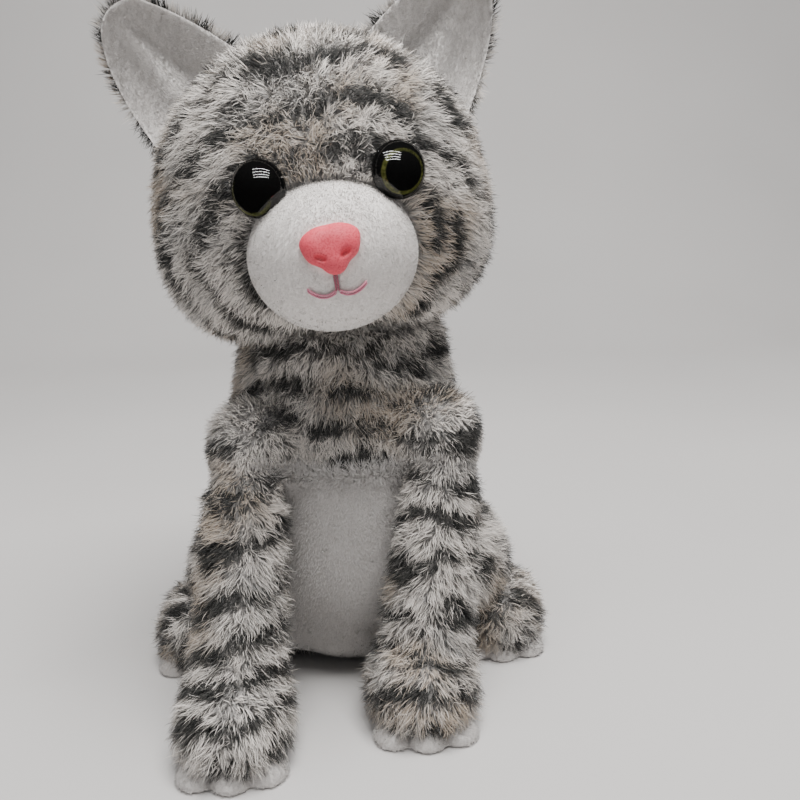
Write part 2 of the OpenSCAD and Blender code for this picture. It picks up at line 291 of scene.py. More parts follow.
def surface(field, low, high, step):
    """Quads over the field's zero surface: one vertex in each grid cell that it crosses."""
    low, high = np.array(low, float), np.array(high, float)
    counts = np.ceil((high - low) / step).astype(int) + 1
    axes = [low[i] + step * np.arange(counts[i]) for i in range(3)]
    grid = np.stack(np.meshgrid(*axes, indexing="ij"), -1).reshape(-1, 3)
    value = field(grid).reshape(counts)
    inside = value < 0
    corners = [np.array((i, j, k)) for i in (0, 1) for j in (0, 1) for k in (0, 1)]
    ends = [slice(0, -1), slice(1, None)]
    filled = sum(inside[ends[c[0]], ends[c[1]], ends[c[2]]].astype(int) for c in corners)
    active = (filled > 0) & (filled < 8)
    index = np.full(active.shape, -1)
    index[active] = np.arange(active.sum())
    cells = np.argwhere(active)
    total, hits = np.zeros((len(cells), 3)), np.zeros(len(cells))
    for axis in range(3):
        along = np.eye(3, dtype=int)[axis]
        for c in corners:
            if c[axis]:
                continue
            a, b = (value[tuple((cells + e).T)] for e in (c, c + along))
            crosses = (a < 0) != (b < 0)
            t = np.where(crosses, a / np.where(crosses, a - b, 1), 0)
            total += np.where(crosses[:, None], c + t[:, None] * along, 0)
            hits += crosses
    verts = low + step * (cells + total / hits[:, None])
    quads = []
    for axis in range(3):
        u, v = (axis + 1) % 3, (axis + 2) % 3
        du, dv = np.eye(3, dtype=int)[u], np.eye(3, dtype=int)[v]
        first = np.take(inside, range(0, counts[axis] - 1), axis)
        second = np.take(inside, range(1, counts[axis]), axis)
        at = np.argwhere(first != second)
        fits = (at[:, u] > 0) & (at[:, v] > 0) & (at[:, u] < counts[u] - 1) & (at[:, v] < counts[v] - 1)
        at = at[fits]
        quad = np.stack([index[tuple((at - d).T)] for d in (du + dv, dv, 0 * du, du)], -1)
        flip = ~inside[tuple(at.T)]
        quad[flip] = quad[flip][:, ::-1]
        quads.append(quad)
    quads = np.concatenate(quads)
    for _ in range(2):
        middles = verts[quads].mean(1)
        near, count = np.zeros_like(verts), np.zeros(len(verts))
        for k in range(4):
            np.add.at(near, quads[:, k], middles)
            np.add.at(count, quads[:, k], 1)
        verts = settle(field, near / count[:, None], 2)
    return verts, quads


def snap(field, verts, line, reach):
    """Moves the vertices that are nearly on a panel's edge onto it, within the surface."""
    for _ in range(2):
        off = line(verts)
        slope = within(gradient(line, verts), unit(gradient(field, verts)))
        steep = (slope * slope).sum(-1)
        move = (np.abs(off) < reach) & (steep > 0.1)
        verts = verts - np.where(move, off / np.maximum(steep, 0.1), 0)[:, None] * slope
        verts = settle(field, verts, 1)
    return verts


def shell(verts, quads, normals, thickness):
    """A closed layer: the outer quads, the same quads further in, and walls along the edges."""
    used, flat = np.unique(quads, return_inverse=True)
    quads = flat.reshape(quads.shape)
    outer = verts[used]
    inner = outer - normals[used] * thickness
    n = len(used)
    edges = np.stack([quads, np.roll(quads, -1, 1)], -1).reshape(-1, 2)
    keys = set(map(tuple, edges))
    rim = np.array([e for e in map(tuple, edges) if (e[1], e[0]) not in keys], int).reshape(-1, 2)
    walls = np.stack([rim[:, 1], rim[:, 0], rim[:, 0] + n, rim[:, 1] + n], -1)
    return np.concatenate([outer, inner]), np.concatenate([quads, quads[:, ::-1] + n, walls])


def put(name, data):
    """A new object in the scene."""
    thing = bpy.data.objects.new(name, data)
    bpy.context.scene.collection.objects.link(thing)
    return thing


def add_values(mesh, key, values):
    """A number or a vector for each vertex, under a name that materials read."""
    kind, field = ("FLOAT_VECTOR", "vector") if values.ndim == 2 else ("FLOAT", "value")
    attribute = mesh.attributes.new(key, kind, "POINT")
    attribute.data.foreach_set(field, values.astype(np.float32).ravel())


def solid(name, verts, faces, material):
    mesh = bpy.data.meshes.new(name)
    mesh.from_pydata(verts.tolist(), [], [list(map(int, f)) for f in faces])
    mesh.materials.append(material)
    mesh.polygons.foreach_set("use_smooth", [True] * len(mesh.polygons))
    mesh.validate()
    return put(name, mesh)


def ring_faces(rows, sides):
    """Quads between rings of vertices, and a cap on each end."""
    start = np.arange(rows - 1)[:, None] * sides
    k, after = start + np.arange(sides), start + (np.arange(sides) + 1) % sides
    quads = np.stack([k, after, after + sides, k + sides], -1).reshape(-1, 4)
    last = (rows - 1) * sides
    return quads.tolist() + [list(range(sides))[::-1], [last + i for i in range(sides)]]


def tube(points, r, sides=8):
    """Vertices and faces of a thread along the points."""
    points = np.array(points)
    ahead = unit(np.gradient(points, axis=0))
    side = unit(np.cross(ahead, np.array([0.31, 0.17, 0.93])))
    up = np.cross(side, ahead)
    turns = np.arange(sides) * 2 * math.pi / sides
    ring = side[:, None] * np.cos(turns)[None, :, None] + up[:, None] * np.sin(turns)[None, :, None]
    thin = np.ones(len(points))
    thin[[0, -1]] = 0.4
    verts = (points[:, None] + ring * (r * thin)[:, None, None]).reshape(-1, 3)
    return verts, ring_faces(len(points), sides)


def threads(name, lines, r, material):
    """Several thread tubes as one piece."""
    verts, faces = [], []
    for points in lines:
        thread, rings = tube(points, r)
        start = sum(map(len, verts))
        verts.append(thread)
        faces += [[start + i for i in f] for f in rings]
    return solid(name, np.concatenate(verts), faces, material)


# ---- pile ----

CLUMP = 3.8 * MM


CELL_PRIMES = np.array([73856093, 19349663, 83492791])
SALT_PRIME, AXIS_PRIME = 7919, 104729
HASH_FACTOR, WORD = 0x45D9F3B, 0xFFFFFFFF


def cell_random(cells, salt):
    """Three numbers from -1 to 1 for each whole-numbered cell."""
    mixed = cells.astype(np.int64) @ CELL_PRIMES + salt * SALT_PRIME
    numbers = []
    for k in range(3):
        h = (mixed + k * AXIS_PRIME) & WORD
        for _ in range(2):
            h = ((h ^ (h >> 16)) * HASH_FACTOR) & WORD
        numbers.append((h ^ (h >> 16)) / WORD * 2 - 1)
    return np.stack(numbers, -1)


def strand_mesh(name, rails, left, shade, values, material):
    """Flat strands, each of three widths and a tip, as one mesh."""
    n = len(rails)
    widths = np.array([1, 0.95, 0.62])[None, :, None]
    half = left[:, None] * widths
    verts = np.empty((n, 7, 3))
    verts[:, 0:6:2] = rails[:, :3] - half
    verts[:, 1:6:2] = rails[:, :3] + half
    verts[:, 6] = rails[:, 3]
    faces = np.array([0, 1, 3, 2, 2, 3, 5, 4, 4, 5, 6])
    base = (np.arange(n) * 7)[:, None]
    mesh = bpy.data.meshes.new(name)
    mesh.vertices.add(n * 7)
    mesh.vertices.foreach_set("co", verts.astype(np.float32).ravel())
    mesh.loops.add(n * 11)
    mesh.loops.foreach_set("vertex_index", (base + faces).astype(np.int32).ravel())
    mesh.polygons.add(n * 3)
    starts = (np.arange(n) * 11)[:, None] + np.array([0, 4, 8])
    mesh.polygons.foreach_set("loop_start", starts.astype(np.int32).ravel())
    mesh.update(calc_edges=True)
    mesh.materials.append(material)
    along = np.tile(np.array([0, 0, 0.4, 0.4, 0.75, 0.75, 1]), (n, 1))
    add_values(mesh, "along", along.ravel())
    for key, value in values.items():
        add_values(mesh, key, np.repeat(value, 7, axis=0))
    # one small cell of the OFBake UV map for each strand
    columns = int(math.ceil(math.sqrt(n)))
    across = np.array([0.2, 0.8, 0.2, 0.8, 0.3, 0.7, 0.5])
    u = (np.arange(n) % columns)[:, None] + across
    v = (np.arange(n) // columns)[:, None] + 0.1 + 0.8 * along
    uv = np.stack([u, v], -1)[:, faces] / columns
    layer = mesh.uv_layers.new(name="OFBake")
    layer.data.foreach_set("uv", uv.astype(np.float32).ravel())
    tilt = unit(left)[:, None] * np.array([-0.3, 0.3, -0.3, 0.3, -0.25, 0.25, 0])[None, :, None]
    normals = unit(shade[:, None] + tilt)
    mesh.normals_split_custom_set_from_vertices(normals.reshape(-1, 3).tolist())
    return put(name, mesh)


def pile(name, field, verts, quads, material, seed, density, length, comb, band,
         lift=0.3, width=0.135 * MM, tuft=0.75, keep=None):
    """Strands standing on a panel, so many on each square millimetre.

    Their length, comb and band, and which are kept, are functions of the root.
    """
    rng = np.random.default_rng(seed)
    tris = np.concatenate([quads[:, [0, 1, 2]], quads[:, [0, 2, 3]]])
    a, b, c = (verts[tris[:, k]] for k in range(3))
    area = size_of(np.cross(b - a, c - a)) / 2
    n = int(area.sum() / MM ** 2 * density * (1))
    pick = rng.choice(len(tris), n, p=area / area.sum())
    s, t = rng.random(n), rng.random(n)
    s, t = np.where(s + t > 1, 1 - s, s)[:, None], np.where(s + t > 1, 1 - t, t)[:, None]
    root = a[pick] + s * (b[pick] - a[pick]) + t * (c[pick] - a[pick])
    if keep is not None:
        root = root[keep(root)]
    n = len(root)
    normal = unit(gradient(field, root))
    noise = rng.normal(size=(2, n, 3))
    long = length(root) * rng.uniform(0.72, 1.1, n)
    way = within(comb(root), normal)
    wobble = root + 1.1 * MM * np.sin(root[:, [1, 2, 0]] * 900 + seed)
    cells = np.floor(wobble / CLUMP)
    lean = within(cell_random(cells, seed), normal)
    centre = (cells + 0.5 + 0.35 * cell_random(cells, seed + 1)) * CLUMP
    to = within(centre - root, normal) / CLUMP
    low = unit(normal + 0.35 * way + 0.22 * noise[0])
    high = unit(lift * normal + way + tuft * lean + 0.7 * to + 0.32 * noise[1])
    t = np.array([0, 0.4, 0.75, 1])[None, :, None]
    bend = low[:, None] * (t - t * t / 2) + high[:, None] * t * t / 2
    rails = root[:, None] + long[:, None, None] * bend
    rails[:, :, 2] = np.maximum(rails[:, :, 2], 0.8 * MM)
    spin = rng.uniform(-0.85, 0.85, n)[:, None]
    across = unit(np.cross(high, normal))
    flat = np.cross(across, high)
    across = unit(across * np.cos(spin) + flat * np.sin(spin))
    own = np.cross(across, high)
    shade = unit(0.62 * normal + 0.38 * own)
    shared = cell_random(cells, seed + 2) * 0.5 + 0.5
    chance = 0.62 * rng.random(n) + 0.38 * shared[:, 0]
    tint = 0.7 * rng.random(n) + 0.3 * shared[:, 1]
    values = {"root": root, "chance": chance, "tint": tint, "band": band(root)}
    half = across * (width * rng.uniform(0.8, 1.2, n))[:, None]
    return strand_mesh(name, rails, half, shade, values, material)


# ---- materials ----


class Look:
    """A node material, built one node at a time."""

    def __init__(self, name):
        self.material = bpy.data.materials.new(name)
        self.material.use_nodes = True
        self.tree = self.material.node_tree
        self.shader = self.tree.nodes["Principled BSDF"]

    def add(self, kind, inputs=None, **settings):
        node = self.tree.nodes.new("ShaderNode" + kind)
        for key, value in settings.items():
            setattr(node, key, value)
        for key, value in (inputs or {}).items():
            self.feed(node, key, value)
        return node

    def feed(self, node, key, value):
        if isinstance(value, bpy.types.NodeSocket):
            self.tree.links.new(value, node.inputs[key])
        else:
            node.inputs[key].default_value = value

    def math(self, operation, a, b=0.0):
        return self.add("Math", {0: a, 1: b}, operation=operation).outputs[0]

    def value(self, name):
        return self.add("Attribute", attribute_name=name).outputs["Fac"]

    def vector(self, name):
        return self.add("Attribute", attribute_name=name).outputs["Vector"]

    def place(self):
        return self.add("TexCoord").outputs["Object"]

    def noise(self, where, scale, detail=2.0, rough=0.5):
        inputs = {"Vector": where, "Scale": scale, "Detail": detail, "Roughness": rough}
        return self.add("TexNoise", inputs).outputs["Fac"]

    def span(self, value, low, high, start=0.0, end=1.0):
        inputs = {0: value, 1: low, 2: high, 3: start, 4: end}
        return self.add("MapRange", inputs, interpolation_type="SMOOTHSTEP").outputs[0]

    def mix(self, share, a, b, blend="MIX"):
        node = self.add("Mix", data_type="RGBA", blend_type=blend)
        self.feed(node, 0, share)
        for key, value in ((6, a), (7, b)):
            self.feed(node, key, (*value, 1) if isinstance(value, tuple) else value)
        return node.outputs[2]

    def bump(self, height, strength, distance):
        inputs = {"Height": height, "Strength": strength, "Distance": distance}
        self.feed(self.shader, "Normal", self.add("Bump", inputs).outputs[0])

    def finish(self, **inputs):
        for key, value in inputs.items():
            if isinstance(value, tuple) and len(value) == 3:
                value = (*value, 1)
            self.feed(self.shader, key.replace("_", " "), value)
        return self.material


def tabby_dark(look, where, band):
    """How likely a strand is a dark one: stripes, broken by patches."""
    wide = look.noise(where, 24.0, 2.0)
    parts = look.add("SeparateXYZ", {0: where}).outputs
    streaks = {0: look.math("MULTIPLY", parts[0], 0.62), 1: look.math("MULTIPLY", parts[1], 0.62)}
    streaks[2] = look.math("MULTIPLY", band, 20 * MM)
    fine = look.noise(look.add("CombineXYZ", streaks).outputs[0], 105.0, 3.0, 0.62)
    bent = look.math("MULTIPLY_ADD", wide, 2.3)
    look.feed(bent.node, 2, band)
    wave = look.math("SINE", look.math("MULTIPLY", bent, 2 * math.pi))
    patch = look.math("MULTIPLY_ADD", fine, 3.4)
    look.feed(patch.node, 2, look.math("MULTIPLY", wave, 0.55))
    return look.span(patch, 1.2, 2.6, 0.07, 0.92)


def tabby_pile():
    look = Look("tabby_pile")
    where, along = look.vector("root"), look.value("along")
    chance, tint = look.value("chance"), look.value("tint")
    dark = look.math("SUBTRACT", tabby_dark(look, where, look.value("band")), chance)
    dark = look.span(dark, -0.12, 0.12)
    grey = look.span(look.noise(where, 48.0, 2.0), 0.36, 0.66, 0.2, 0.85)
    pale = look.mix(look.span(tint, 0.0, grey), (0.25, 0.25, 0.246), (0.90, 0.845, 0.79))
    warm = look.span(look.noise(where, 27.0, 1.0), 0.52, 0.66)
    warm = look.math("MULTIPLY", warm, look.span(tint, 0.1, 0.7, 0.1, 0.85))
    pale = look.mix(warm, pale, (0.50, 0.395, 0.29))
    # painted shade: pale and black strands are darker towards the root, for the shade deep in the pile
    pale = look.mix(look.span(along, 0.0, 0.6), (0.26, 0.25, 0.24), pale)
    black = look.mix(look.span(along, 0.4, 1.0), (0.02, 0.021, 0.02), (0.075, 0.073, 0.068))
    return look.finish(Base_Color=look.mix(dark, pale, black), Roughness=0.7,
                       Specular_IOR_Level=0.25, Sheen_Weight=0.25, Sheen_Roughness=0.4)


def tabby_cloth():
    look = Look("tabby_cloth")
    where = look.place()
    fine = look.noise(where, 420.0, 3.0)
    tone = look.mix(look.span(fine, 0.35, 0.65), (0.16, 0.155, 0.15), (0.44, 0.425, 0.41))
    look.bump(look.noise(where, 1500.0, 2.0), 0.5, 0.4 * MM)
    return look.finish(Base_Color=tone, Roughness=0.9, Specular_IOR_Level=0.15)


# tones scaled by a painted light level, for lit and shaded copies of one white plush
def lit(light, *tones):
    return (tuple(light * k for k in tone) for tone in tones)


def white_plush(name, light):
    look = Look(name)
    where = look.place()
    soft = look.noise(where, 60.0, 3.0)
    nap = look.noise(where, 700.0, 4.0, 0.65)
    # the tones take this copy's painted light level
    deep, low, high = lit(light, (0.68, 0.645, 0.62), (0.80, 0.765, 0.74), (0.88, 0.85, 0.83))
    tone = look.mix(look.span(soft, 0.3, 0.7), low, high)
    tone = look.mix(look.span(nap, 0.3, 0.62), deep, tone)
    look.bump(nap, 0.45, 0.4 * MM)
    return look.finish(Base_Color=tone, Roughness=0.85, Specular_IOR_Level=0.2,
                       Sheen_Weight=0.45, Sheen_Roughness=0.35)


def white_pile(name, light):
    look = Look(name)
    tint, along = look.value("tint"), look.value("along")
    # the tones take this copy's painted light level
    deep, low, high = lit(light, (0.68, 0.65, 0.625), (0.80, 0.77, 0.745), (0.90, 0.87, 0.85))
    tone = look.mix(tint, low, high)
    # painted shade: the white strands are darker towards the root, for the shade deep in the pile
    tone = look.mix(look.span(along, 0.0, 0.6), deep, tone)
    return look.finish(Base_Color=tone, Roughness=0.75, Specular_IOR_Level=0.2,
                       Sheen_Weight=0.4, Sheen_Roughness=0.35)


def eye_look():
    """Black rim, a thin olive ring and a black pupil under one polished dome; the ring carries painted
    light, brighter towards one side as if lit through a clear dome.
    """
    look = Look("eye_plastic")
    ring = look.value("ring")
    where = look.place()
    streak = look.noise(where, 900.0, 2.0)
    olive = look.mix(look.span(streak, 0.3, 0.7), (0.032, 0.036, 0.010), (0.085, 0.090, 0.026))
    inner, outer = look.span(ring, 0.64, 0.70), look.span(ring, 0.76, 0.81, 1.0, 0.0)
    # painted light: the ring's brightness follows the per-vertex light painted on each eye
    share = look.math("MULTIPLY", look.math("MULTIPLY", inner, outer), look.value("painted_dome_light"))
    tone = look.mix(share, (0.004, 0.004, 0.004), olive)
    return look.finish(Base_Color=tone, Roughness=look.span(streak, 0.2, 0.8, 0.03, 0.07),
                       Specular_IOR_Level=0.35)


def nose_look():
    look = Look("nose_flock")
    where = look.place()
    nap = look.noise(where, 1600.0, 3.0, 0.6)
    soft = look.noise(where, 160.0, 2.0)
    tone = look.mix(look.span(soft, 0.3, 0.7), (0.84, 0.095, 0.135), (0.92, 0.135, 0.175))
    tone = look.mix(look.span(nap, 0.3, 0.6), (0.70, 0.06, 0.09), tone)
    look.bump(nap, 0.2, 0.2 * MM)
    return look.finish(Base_Color=tone, Roughness=0.55, Specular_IOR_Level=0.3,
                       Sheen_Weight=0.25, Sheen_Roughness=0.3)


def thread_look(name, deep, light):
    look = Look(name)
    where = look.place()
    strand = look.add("TexWave", {"Vector": where, "Scale": 900.0, "Distortion": 1.5},
                      bands_direction="DIAGONAL").outputs["Fac"]
    look.bump(strand, 0.6, 0.2 * MM)
    return look.finish(Base_Color=look.mix(strand, deep, light), Roughness=0.55,
                       Sheen_Weight=0.3, Sheen_Roughness=0.4)


def plain_look(name, deep, light, scale, rough):
    """Fibre, cloth or moulded plastic that is inside the toy."""
    look = Look(name)
    where = look.place()
    grain = look.noise(where, scale, 4.0, 0.6)
    look.bump(grain, 0.4, 0.3 * MM)
    return look.finish(Base_Color=look.mix(look.span(grain, 0.3, 0.7), deep, light),
                       Roughness=look.span(grain, 0.2, 0.8, rough, rough + 0.1))


TABBY = tabby_pile()
TABBY_CLOTH = tabby_cloth()
# painted shade: the belly, ear linings and soles use the white plush darkened to 0.82; painted light: the
# muzzle's copies are brightened to 1.1 and 1.08
WHITE = white_plush("white_plush", 0.82)
WHITE_PILE = white_pile("white_pile", 0.82)
LIT_MUZZLE_WHITE = white_plush("muzzle_plush_painted_light", 1.1)
LIT_MUZZLE_PILE = white_pile("muzzle_pile_painted_light", 1.08)
EYE_LOOK = eye_look()
PINK_THREAD = thread_look("pink_thread", (0.62, 0.16, 0.26), (0.86, 0.36, 0.46))
GREY_THREAD = thread_look("grey_thread", (0.16, 0.16, 0.16), (0.42, 0.42, 0.41))
FIBRE = plain_look("fibre_fill", (0.62, 0.62, 0.60), (0.90, 0.90, 0.88), 260.0, 0.8)
BAG = plain_look("bag_cloth", (0.50, 0.44, 0.34), (0.66, 0.60, 0.50), 700.0, 0.75)
WASHER = plain_look("washer_plastic", (0.72, 0.70, 0.62), (0.82, 0.80, 0.72), 120.0, 0.35)

for node, look in {"stuffing": FIBRE, "washer": WASHER, "pellet_bag": BAG}.items():
    for name, piece in frame["nodes"].items():
        if name.endswith(node):
            piece.data.materials.clear()
            piece.data.materials.append(look)


# ---- fabric pieces ----


def dress(piece, body, nodes=(), cross=None):
    """Ties a piece to its body, or, for a piece across a joint, only applies its transform and leaves it
    unparented; hides the nodes that it stands for.
    """
    if cross:
        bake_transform(piece)
    else:
        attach(piece, body)
    if nodes:
        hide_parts(*nodes)
    return piece


def fabric(name, field, verts, quads, material):
    normals = unit(gradient(field, verts))
    return solid(name, *shell(verts, quads, normals, FABRIC), material)


def even(length):
    """The same length of pile everywhere."""
    return lambda p: np.full(len(p), length)


def limit(long, gap, least=5 * MM):
    """Pile is pressed short where another surface is close."""
    return np.clip(1.25 * gap, least, long)


STEP = 3 * MM
DENSE = 2.3  # strands of long pile on each square millimetre
HEAD_REACH = mm(84, 76, 72)
HEAD_LOW, HEAD_HIGH = HEAD[0] - HEAD_REACH, HEAD[0] + HEAD_REACH


def head_comb(p):
    """Down and outward from the seam over the head, and away from the muzzle."""
    q = to_local(HEAD, p)
    out = np.clip(q[:, 0] / (30 * MM), -1, 1)
    back = smooth(q[:, 1], -20 * MM, 30 * MM)
    way = np.stack([0.75 * out, 0.15 + 0.25 * back, -0.75 * np.ones(len(q))], -1)
    near = np.exp(-np.maximum(muzzle_field(p), 0) / (9 * MM))[:, None]
    away = unit(q - MUZZLE_AT)
    return (way * (1 - near) + 1.3 * away * near) @ HEAD[1].T


def head_band(p):
    q = to_local(HEAD, p)
    rise = size_of((q - MUZZLE_AT) * np.array([0.8, 0.9, 1.0]))
    return rise / (17 * MM)


def eye_gap(p):
    return np.minimum(*(size_of(p - at) for at, _ in EYE.values())) - EYE_R


def ear_gap(p):
    """Distance from the line along the base of either ear."""
    q = to_local(HEAD, p)
    q[:, 0] = np.abs(q[:, 0])
    ends = [mm(u, -1, 1) @ EAR_TURN.T + EAR_AT for u in (-24, 24)]
    return bar(q, ends[0], ends[1], 0)


def head_length(p):
    long = np.full(len(p), 7.4 * MM)
    long = np.minimum(long, 3.5 * MM + np.maximum(ear_gap(p) - 2 * MM, 0) * 0.5)
    beside_eye = np.where(to_local(HEAD, p)[:, 0] > 0, 3.4 * MM, 5.6 * MM)
    long = np.minimum(long, beside_eye + np.maximum(eye_gap(p), 0) * 0.9)
    long = np.minimum(long, 5 * MM + np.maximum(muzzle_field(p), 0) * 0.9)
    return limit(long, np.maximum(size_of(p - NECK) - NECK_R + 3 * MM, 0), 2.5 * MM)


def make_head():
    verts, quads = surface(head_field, HEAD_LOW, HEAD_HIGH, STEP)
    verts = snap(head_field, verts, lambda p: to_local(HEAD, p)[:, 0], STEP * 0.45)
    centre = to_local(HEAD, verts[quads].mean(1))
    for name, side in SIDES.items():
        half = centre[:, 0] * side > 0
        cover = fabric("head_" + name + "_cloth", head_field, verts, quads[half], TABBY_CLOTH)
        dress(cover, "head", ["head_" + name + "_cover"])
        front = centre[:, 1] < 0
        for label, chosen in (("front", half & front), ("back", half & ~front)):
            fur = pile("head_%s_%s_pile" % (name, label), head_field, verts, quads[chosen], TABBY,
                       11 + side + 4 * (label == "back"), DENSE, head_length, head_comb, head_band,
                       keep=lambda p: (muzzle_field(p) > 0.4 * MM) & (eye_gap(p) > 0.3 * MM))
            dress(fur, "head")


def short_comb(p):
    return np.stack([0.2 * np.sign(p[:, 0]), 0 * p[:, 0], -np.ones(len(p))], -1)


def no_band(p):
    return np.zeros(len(p))


def make_muzzle():
    def form(p):
        return cut(muzzle_field(p), skull_field(p) + 9 * MM, 1 * MM)
    at = to_world(HEAD, MUZZLE_AT)
    verts, quads = surface(form, at - 34 * MM, at + 34 * MM, 2 * MM)
    cover = fabric("muzzle_cloth", form, verts, quads, LIT_MUZZLE_WHITE)
    dress(cover, "head", ["muzzle_cover"])
    fuzz = pile("muzzle_pile", form, verts, quads, LIT_MUZZLE_PILE, 21, 5.6,
                even(0.9 * MM), short_comb, no_band,
                lift=0.5, width=0.08 * MM, tuft=0.05,
                keep=lambda p: (skull_field(p) > 0) & (size_of(p - NOSE[0]) > 9 * MM))
    dress(fuzz, "head")


def revolve(profile, place, segments=64):
    """Vertices and faces of a profile of (radius, height) turned about the place's own Z."""
    turns = np.arange(segments) * 2 * math.pi / segments
    circle = np.stack([np.cos(turns), np.sin(turns)], -1)
    rings = [np.column_stack([r * circle, np.full(segments, z)]) for r, z in profile]
    return to_world(place, np.concatenate(rings)), ring_faces(len(profile), segments)


# radius and height in millimetres along the rim behind an eye's dome
EYE_BACK = [(7.5, -2), (9.6, -2), (10.2, -1.4), (10.3, -0.4), (10.0, 0.3), (9.6, 0.55)]


def make_eyes():
    ball_r, dome_h = 11.5 * MM, 6.5 * MM
    for name, side in SIDES.items():
        place = EYE[name]
        profile = [(r * MM, z * MM) for r, z in EYE_BACK]
        tilts = np.radians(np.linspace(56, 0.6, 24))
        profile += [(ball_r * math.sin(a), dome_h - ball_r + ball_r * math.cos(a)) for a in tilts]
        verts, faces = revolve(profile, place)
        piece = solid(name + "_safety_eye", verts, faces, EYE_LOOK)
        q = to_local(place, verts)
        shift = mm(-0.5, -0.75) if side > 0 else mm(-0.9, -1.3)
        ring = size_of(q[:, :2] - shift) / EYE_R
        ring = np.where(q[:, 2] < 0.6 * MM, 1.2, ring)
        # painted light: the ring is brighter towards the lower left, and on the right eye it fades out on
        # the far side, as light through a clear dome would show
        toward = (q[:, :2] @ np.array([-0.5, -0.86])) / np.maximum(size_of(q[:, :2]), 1e-6)
        painted_dome_light = smooth(toward, -0.9, 0.2) * 0.6 + 0.4 if side > 0 else smooth(toward, -0.1, 0.9)
        add_values(piece.data, "ring", ring)
        add_values(piece.data, "painted_dome_light", painted_dome_light)
        dress(piece, "head", [name + "_eye"])


def nose_field(p):
    q = to_local(NOSE, p) / MM
    whole = egg(q - np.array([0, 2.6, 0.6]), np.array([10.2, 5.2, 4.4]))
    whole = join(whole, egg(q - np.array([0, -3.4, 1.2]), np.array([5.0, 5.8, 4.0])), 2.5)
    for side in (1, -1):
        whole = join(whole, egg(q - np.array([side * 5.0, -0.4, 0.8]), np.array([4.4, 4.6, 3.6])), 2.5)
        nostril = (q - np.array([side * 4.4, -2.6, 4.5])) @ turn("Z", side * 28)
        whole = cut(whole, egg(nostril, np.array([2.2, 1.15, 1.7])), 0.8)
    dip = q - np.array([0, 8.6, 3.6])
    whole = cut(whole, egg(dip, np.array([3.5, 1.6, 3.0])), 2.0)
    return whole * MM


def make_nose():
    at = NOSE[0]
    verts, quads = surface(nose_field, at - 13 * MM, at + 13 * MM, 0.5 * MM)
    piece = solid("nose_flocked", verts, quads, nose_look())
    dress(piece, "head", ["nose"])


def on_muzzle(x, z, out=1.0 * MM):
    """Points on the muzzle's front at head-frame x and z."""
    q = np.stack([x, np.full(len(x), -70 * MM), z], -1)
    for _ in range(12):
        p = to_world(HEAD, q)
        q[:, 1] += (muzzle_field(p) - out) * 0.9
    return to_world(HEAD, q)


def make_mouth():
    lines = []
    for side in (1, -1):
        for apart in (-0.42 * MM, 0.42 * MM):
            z = np.linspace(-26.0, -34.2, 14) * MM
            lines.append(on_muzzle(np.full(14, side * 0.42 * MM), z))
            curve = bezier([0.5, -34.0], [5.2, -37.4], [10.2, -32.2], np.linspace(0, 1, 22))
            lines.append(on_muzzle(side * curve[:, 0], curve[:, 1] + apart))
    piece = threads("mouth_threads", lines, 0.36 * MM, PINK_THREAD)
    dress(piece, "head", ["mouth_stitching"])


# ---- ears ----


def bezier(a, b, c, t):
    a, b, c = (np.array(k) * MM for k in (a, b, c))
    t = t[..., None]
    return (1 - t) ** 2 * a + 2 * t * (1 - t) * b + t ** 2 * c


EAR_TURN = turn("Y", 44)
EAR_AT = mm(45.5, 4, 38.5)
BOWL_R = 64 * MM


def ear_world(side, q):
    q = q @ EAR_TURN.T + EAR_AT
    return to_world(HEAD, q * np.array([side, 1, 1]))


def ear_point(side, *q):
    return ear_world(side, np.array([q]))[0]


EAR_ROWS, EAR_COLUMNS = 30, 26


def ear_sheet(layer):
    """One layer of an ear: a grid between its inner and outer edges, bowed back into a bowl."""
    s, t = np.meshgrid(np.linspace(0, 1, EAR_COLUMNS), np.linspace(0, 1, EAR_ROWS))
    inner = bezier([-27, -16], [-27, 20.7], [-17.3, 41.4], t)
    outer = bezier([27, -16], [19.4, 30.4], [1.6, 43.7], t)
    flat = inner * (1 - s)[..., None] + outer * s[..., None]
    flat[..., 1] += 3.6 * MM * 4 * s * (1 - s) * t ** 8
    u, v = flat[..., 0], flat[..., 1]
    rim = np.minimum(1, 7 * np.minimum(s, 1 - s)) * np.minimum(1, 7 * (1 - t))
    depth = 2 * MM - BOWL_R + np.sqrt(BOWL_R ** 2 - u ** 2 - (v - 18 * MM) ** 2)
    fold = 4.2 * MM * np.exp(-((s - 0.34 - 0.16 * t) / 0.11) ** 2) * (1 - t) ** 0.9
    crease = 4.4 * MM * np.exp(-((s - 0.62 + 0.1 * t) / 0.11) ** 2) * (1 - t) ** 0.8
    return np.stack([u, depth + fold - crease + layer * rim, v], -1).reshape(-1, 3)


def ear_layer(name, side, front, back, material):
    """A closed padded layer of an ear, its front and back grids, and the quads of either."""
    rows, columns = EAR_ROWS, EAR_COLUMNS
    k = np.arange(rows - 1)[:, None] * columns + np.arange(columns - 1)
    quads = np.stack([k, k + 1, k + columns + 1, k + columns], -1).reshape(-1, 4)
    n = rows * columns
    ring = list(range(columns)) + [r * columns + columns - 1 for r in range(1, rows)]
    ring += [(rows - 1) * columns + c for c in range(columns - 2, -1, -1)]
    ring += [r * columns for r in range(rows - 2, 0, -1)]
    walls = [[a, a + n, b + n, b] for a, b in zip(ring, ring[1:] + ring[:1])]
    verts = ear_world(side, np.concatenate([ear_sheet(front), ear_sheet(back)]))
    faces = quads.tolist() + (quads[:, ::-1] + n).tolist() + walls
    if side < 0:
        faces = [f[::-1] for f in faces]
    return solid(name, verts, faces, material), verts[:n], verts[n:], quads


def ear_field(side, sign):
    """Stands in for a distance field on an ear: its gradient is the bowl's outward normal."""
    centre = ear_point(side, 0, 2 * MM - BOWL_R, 18 * MM)
    return lambda p: sign * (size_of(p - centre) - BOWL_R)


